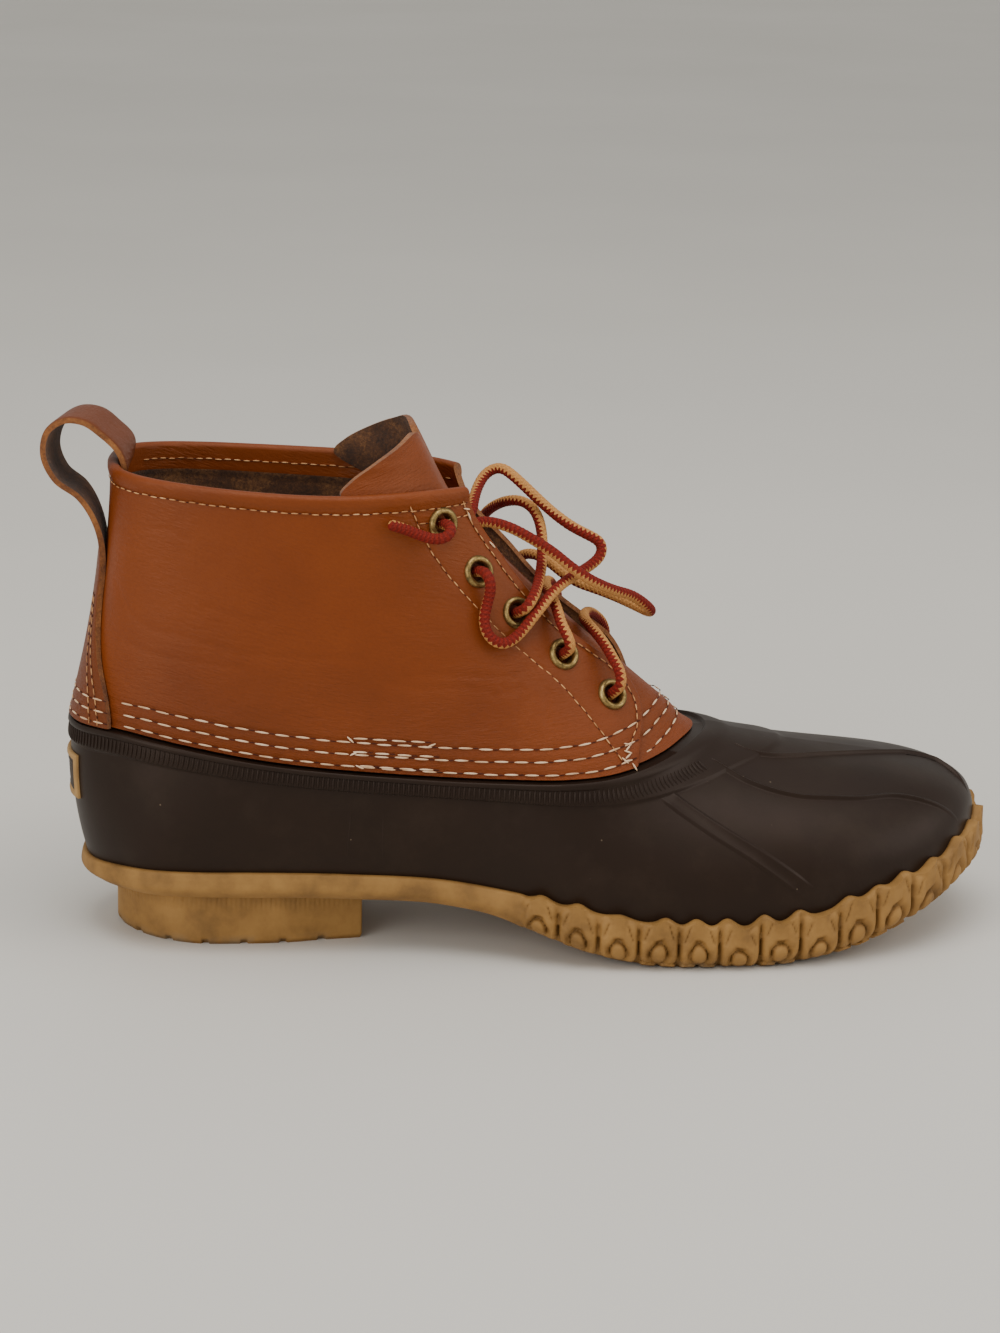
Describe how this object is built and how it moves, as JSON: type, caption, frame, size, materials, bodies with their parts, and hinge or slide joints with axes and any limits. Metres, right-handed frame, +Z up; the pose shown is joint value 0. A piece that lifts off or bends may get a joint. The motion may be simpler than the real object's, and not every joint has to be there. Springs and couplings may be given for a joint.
{
  "type": "duck boot",
  "caption": "Right ankle boot with a moulded rubber bottom, chain-tread outsole, laced leather shaft, gusseted tongue and a pull loop at the heel.",
  "frame": {"origin": "middle of the heel block's flat bottom, on the floor", "axes": "+X from heel to toe, +Y towards the inner (medial) side, +Z up"},
  "size_m": [0.3124, 0.1128, 0.17],
  "materials": {
    "rubber_brown": "satin",
    "rubber_tan": "matte",
    "footbed": "matte",
    "leather_tan": "satin",
    "brass": "aged",
    "lace_red": "woven"
  },
  "bodies": {
    "root": {"rubber_bottom": "rubber_brown", "outsole": "rubber_tan", "insole": "footbed", "heel_patch": "rubber_tan", "upper_quarters": "leather_tan", "tongue": "leather_tan", "backstay_loop": "leather_tan", "eyelet_lateral_1": "brass", "eyelet_lateral_2": "brass", "eyelet_lateral_3": "brass", "eyelet_lateral_4": "brass", "eyelet_lateral_5": "brass", "eyelet_medial_1": "brass", "eyelet_medial_2": "brass", "eyelet_medial_3": "brass", "eyelet_medial_4": "brass", "eyelet_medial_5": "brass", "lace_bar_low": "lace_red", "lace_bar_middle": "lace_red", "lace_end": "lace_red", "lace_loop_top": "lace_red", "lace_loop_long": "lace_red", "lace_loop_side": "lace_red"}
  },
  "joints": []
}
